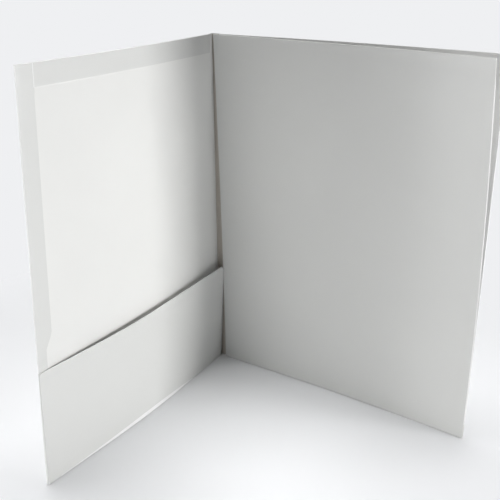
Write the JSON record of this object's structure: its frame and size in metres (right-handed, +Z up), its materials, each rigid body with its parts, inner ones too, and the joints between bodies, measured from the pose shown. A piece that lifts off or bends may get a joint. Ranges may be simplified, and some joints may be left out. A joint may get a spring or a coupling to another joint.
{
  "type": "presentation folder",
  "caption": "White card presentation folder, one folded sheet standing half open, with a low left pocket and a full-height right panel.",
  "frame": {"origin": "on the ground, under the middle of the folder's box", "axes": "+Z up along the spine, +X along the foot of the right cover away from the spine, -Y roughly along the left cover away from the spine"},
  "size_m": [0.2448, 0.2654, 0.292],
  "materials": {
    "card": "white coated card, satin outside and matte inside"
  },
  "bodies": {
    "root": {"folder": "card"}
  },
  "joints": []
}
